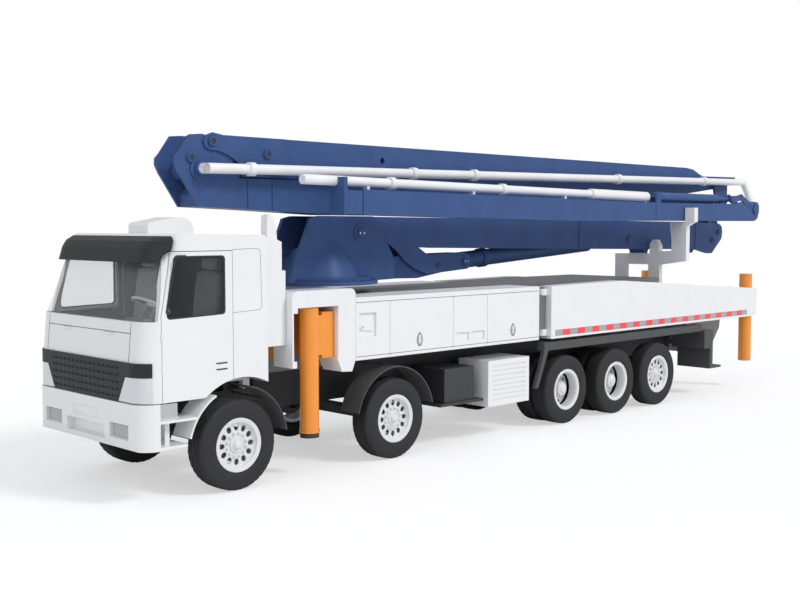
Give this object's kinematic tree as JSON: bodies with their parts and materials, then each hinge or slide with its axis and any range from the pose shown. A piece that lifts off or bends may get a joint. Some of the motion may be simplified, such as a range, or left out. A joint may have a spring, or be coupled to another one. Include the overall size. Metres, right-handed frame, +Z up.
{
  "type": "concrete pump truck",
  "caption": "Truck-mounted concrete pump with a tilt-nose cab, folding boom on a slewing turret, swing and slide outriggers and a rear hopper.",
  "frame": {"origin": "on the floor, at the middle of the truck's length and width", "axes": "+X forward along the truck, +Y to its left, +Z up"},
  "size_m": [14.771, 2.5, 4.2498],
  "materials": {
    "white_paint": "gloss",
    "blue_paint": "semi gloss",
    "orange_paint": "gloss",
    "dark_plastic": "matt",
    "frame_black": "satin",
    "lamp_glass": "clear",
    "glass": "clear",
    "seat_fabric": "woven",
    "engine_iron": "rough",
    "deck_grey": "matt",
    "guard_grey": "matt",
    "tank_black": "satin",
    "rest_grey": "satin",
    "tyre": "matt",
    "pipe_white": "satin",
    "chrome_rod": "polished"
  },
  "bodies": {
    "chassis": {"chassis_frame": "frame_black", "axle_beams": "frame_black", "front_bumper": "white_paint", "cab_shell": "white_paint", "grille": "dark_plastic", "headlamps": "lamp_glass", "sun_visor": "dark_plastic", "windscreen": "glass", "seats": "seat_fabric", "dashboard": "dark_plastic", "engine": "engine_iron", "intake_stack": "white_paint", "outrigger_frame": "white_paint", "deck": "deck_grey", "lockers": "white_paint", "guards": "guard_grey", "side_boxes": "white_paint", "tanks": "tank_black", "boom_rest": "rest_grey", "hopper": "deck_grey", "pump_unit": "deck_grey"},
    "wheel_1_left": {"wheel_1_left": "tyre"},
    "knuckle_1_left": {"knuckle_1_left": "frame_black"},
    "wheel_1_right": {"wheel_1_right": "tyre"},
    "knuckle_1_right": {"knuckle_1_right": "frame_black"},
    "wheel_2_left": {"wheel_2_left": "tyre"},
    "knuckle_2_left": {"knuckle_2_left": "frame_black"},
    "wheel_2_right": {"wheel_2_right": "tyre"},
    "knuckle_2_right": {"knuckle_2_right": "frame_black"},
    "wheel_3_left": {"wheel_3_left": "tyre"},
    "wheel_3_right": {"wheel_3_right": "tyre"},
    "wheel_4_left": {"wheel_4_left": "tyre"},
    "wheel_4_right": {"wheel_4_right": "tyre"},
    "wheel_5_left": {"wheel_5_left": "tyre"},
    "knuckle_5_left": {"knuckle_5_left": "frame_black"},
    "wheel_5_right": {"wheel_5_right": "tyre"},
    "knuckle_5_right": {"knuckle_5_right": "frame_black"},
    "cab_door_left": {"cab_door_left": "white_paint"},
    "cab_door_right": {"cab_door_right": "white_paint"},
    "hopper_grille": {"hopper_grille": "orange_paint"},
    "front_beam_left": {"front_beam_left": "orange_paint"},
    "front_jack_left": {"front_jack_left": "orange_paint"},
    "rear_beam_left": {"rear_beam_left": "white_paint", "rear_tube_left": "orange_paint"},
    "rear_jack_left": {"rear_jack_left": "orange_paint"},
    "front_beam_right": {"front_beam_right": "orange_paint"},
    "front_jack_right": {"front_jack_right": "orange_paint"},
    "rear_beam_right": {"rear_beam_right": "white_paint", "rear_tube_right": "orange_paint"},
    "rear_jack_right": {"rear_jack_right": "orange_paint"},
    "turret": {"turret": "blue_paint"},
    "boom_1": {"boom_1": "blue_paint"},
    "boom_2": {"boom_2": "blue_paint", "pipe_2": "pipe_white"},
    "boom_3": {"boom_3": "blue_paint", "pipe_3": "pipe_white"},
    "boom_4": {"boom_4": "blue_paint", "pipe_4": "pipe_white"},
    "lift_cylinder": {"lift_cylinder": "blue_paint"},
    "lift_rod": {"lift_rod": "chrome_rod"}
  },
  "joints": [
    {"name": "steer_1_left", "type": "hinge", "parent": "chassis", "child": "knuckle_1_left", "pos_m": [6.082, 0.85, 0.54], "axis": [0, 0, 1], "range_deg": [-35, 35]},
    {"name": "spin_1_left", "type": "hinge", "parent": "knuckle_1_left", "child": "wheel_1_left", "pos_m": [6.082, 1.072, 0.54], "axis": [0, 1, 0], "continuous": true},
    {"name": "steer_1_right", "type": "hinge", "parent": "chassis", "child": "knuckle_1_right", "pos_m": [6.082, -0.85, 0.54], "axis": [0, 0, 1], "range_deg": [-35.5, 35.5]},
    {"name": "spin_1_right", "type": "hinge", "parent": "knuckle_1_right", "child": "wheel_1_right", "pos_m": [6.082, -1.072, 0.54], "axis": [0, 1, 0], "continuous": true},
    {"name": "steer_2_left", "type": "hinge", "parent": "chassis", "child": "knuckle_2_left", "pos_m": [3.528, 0.85, 0.54], "axis": [0, 0, 1], "range_deg": [-26.75, 26.75]},
    {"name": "spin_2_left", "type": "hinge", "parent": "knuckle_2_left", "child": "wheel_2_left", "pos_m": [3.528, 1.072, 0.54], "axis": [0, 1, 0], "continuous": true},
    {"name": "steer_2_right", "type": "hinge", "parent": "chassis", "child": "knuckle_2_right", "pos_m": [3.528, -0.85, 0.54], "axis": [0, 0, 1], "range_deg": [-26.75, 26.75]},
    {"name": "spin_2_right", "type": "hinge", "parent": "knuckle_2_right", "child": "wheel_2_right", "pos_m": [3.528, -1.072, 0.54], "axis": [0, 1, 0], "continuous": true},
    {"name": "spin_3_left", "type": "hinge", "parent": "chassis", "child": "wheel_3_left", "pos_m": [-0.22, 0.9, 0.54], "axis": [0, 1, 0], "continuous": true},
    {"name": "spin_3_right", "type": "hinge", "parent": "chassis", "child": "wheel_3_right", "pos_m": [-0.22, -0.9, 0.54], "axis": [0, 1, 0], "continuous": true},
    {"name": "spin_4_left", "type": "hinge", "parent": "chassis", "child": "wheel_4_left", "pos_m": [-1.558, 0.9, 0.54], "axis": [0, 1, 0], "continuous": true},
    {"name": "spin_4_right", "type": "hinge", "parent": "chassis", "child": "wheel_4_right", "pos_m": [-1.558, -0.9, 0.54], "axis": [0, 1, 0], "continuous": true},
    {"name": "steer_5_left", "type": "hinge", "parent": "chassis", "child": "knuckle_5_left", "pos_m": [-2.818, 0.85, 0.54], "axis": [0, 0, 1], "range_deg": [-21.5, 21.5]},
    {"name": "spin_5_left", "type": "hinge", "parent": "knuckle_5_left", "child": "wheel_5_left", "pos_m": [-2.818, 1.072, 0.54], "axis": [0, 1, 0], "continuous": true},
    {"name": "steer_5_right", "type": "hinge", "parent": "chassis", "child": "knuckle_5_right", "pos_m": [-2.818, -0.85, 0.54], "axis": [0, 0, 1], "range_deg": [-21.5, 21.5]},
    {"name": "spin_5_right", "type": "hinge", "parent": "knuckle_5_right", "child": "wheel_5_right", "pos_m": [-2.818, -1.072, 0.54], "axis": [0, 1, 0], "continuous": true},
    {"name": "door_left", "type": "hinge", "parent": "chassis", "child": "cab_door_left", "pos_m": [7.118, 1.238, 2], "axis": [0, 0, -1], "range_deg": [0, 75]},
    {"name": "door_right", "type": "hinge", "parent": "chassis", "child": "cab_door_right", "pos_m": [7.118, -1.238, 2], "axis": [0, 0, 1], "range_deg": [0, 75]},
    {"name": "hopper_grille_lid", "type": "hinge", "parent": "chassis", "child": "hopper_grille", "pos_m": [-4.68, 0, 1.524], "axis": [0, 1, 0], "range_deg": [0, 55]},
    {"name": "front_beam_left_slide", "type": "slide", "parent": "chassis", "child": "front_beam_left", "axis": [0, 1, 0], "range_m": [0, 1.5]},
    {"name": "front_jack_left_slide", "type": "slide", "parent": "front_beam_left", "child": "front_jack_left", "axis": [0, 0, -1], "range_m": [0, 0.465]},
    {"name": "rear_beam_left_swing", "type": "hinge", "parent": "chassis", "child": "rear_beam_left", "pos_m": [0.292, 1.11, 1.8], "axis": [0, 0, -1], "range_deg": [0, 90]},
    {"name": "rear_jack_left_slide", "type": "slide", "parent": "rear_beam_left", "child": "rear_jack_left", "axis": [0, 0, -1], "range_m": [0, 0.495]},
    {"name": "front_beam_right_slide", "type": "slide", "parent": "chassis", "child": "front_beam_right", "axis": [0, -1, 0], "range_m": [0, 1.5]},
    {"name": "front_jack_right_slide", "type": "slide", "parent": "front_beam_right", "child": "front_jack_right", "axis": [0, 0, -1], "range_m": [0, 0.465]},
    {"name": "rear_beam_right_swing", "type": "hinge", "parent": "chassis", "child": "rear_beam_right", "pos_m": [0.292, -1.11, 1.8], "axis": [0, 0, 1], "range_deg": [0, 90]},
    {"name": "rear_jack_right_slide", "type": "slide", "parent": "rear_beam_right", "child": "rear_jack_right", "axis": [0, 0, -1], "range_m": [0, 0.495]},
    {"name": "turret_slew", "type": "hinge", "parent": "chassis", "child": "turret", "pos_m": [3.832, 0, 2.33], "axis": [0, 0, 1], "range_deg": [0, 130]},
    {"name": "boom_1_lift", "type": "hinge", "parent": "turret", "child": "boom_1", "pos_m": [3.332, 0, 3], "axis": [0, 1, 0], "range_deg": [0, 80]},
    {"name": "boom_2_fold", "type": "hinge", "parent": "boom_1", "child": "boom_2", "pos_m": [-6.488, 0, 2.985], "axis": [0, -1, 0], "range_deg": [0, 180.1]},
    {"name": "boom_3_fold", "type": "hinge", "parent": "boom_2", "child": "boom_3", "pos_m": [5.912, 0, 3.8], "axis": [0, 1, 0], "range_deg": [0, 180]},
    {"name": "boom_4_fold", "type": "hinge", "parent": "boom_3", "child": "boom_4", "pos_m": [-6.558, 0.86, 3.43], "axis": [0, -1, 0], "range_deg": [0, 180]},
    {"name": "lift_cylinder_swing", "type": "hinge", "parent": "turret", "child": "lift_cylinder", "pos_m": [1.032, 0, 2.56], "axis": [0, 1, 0], "range_deg": [0, 95]},
    {"name": "lift_rod_slide", "type": "slide", "parent": "lift_cylinder", "child": "lift_rod", "axis": [-0.9978, 0, 0.0661], "range_m": [0, 2.7]}
  ],
  "couplings": [
    {"joint": "steer_1_right", "follows": "steer_1_left", "ratio": 1},
    {"joint": "steer_2_left", "follows": "steer_1_left", "ratio": 0.75},
    {"joint": "steer_2_right", "follows": "steer_1_left", "ratio": 0.75},
    {"joint": "steer_5_left", "follows": "steer_1_left", "ratio": -0.6},
    {"joint": "steer_5_right", "follows": "steer_1_left", "ratio": -0.6},
    {"joint": "boom_2_fold", "follows": "boom_1_lift", "ratio": 2.25},
    {"joint": "lift_cylinder_swing", "follows": "boom_1_lift", "ratio": 1.18},
    {"joint": "lift_rod_slide", "follows": "boom_1_lift", "m_per_rad": 1.912}
  ]
}
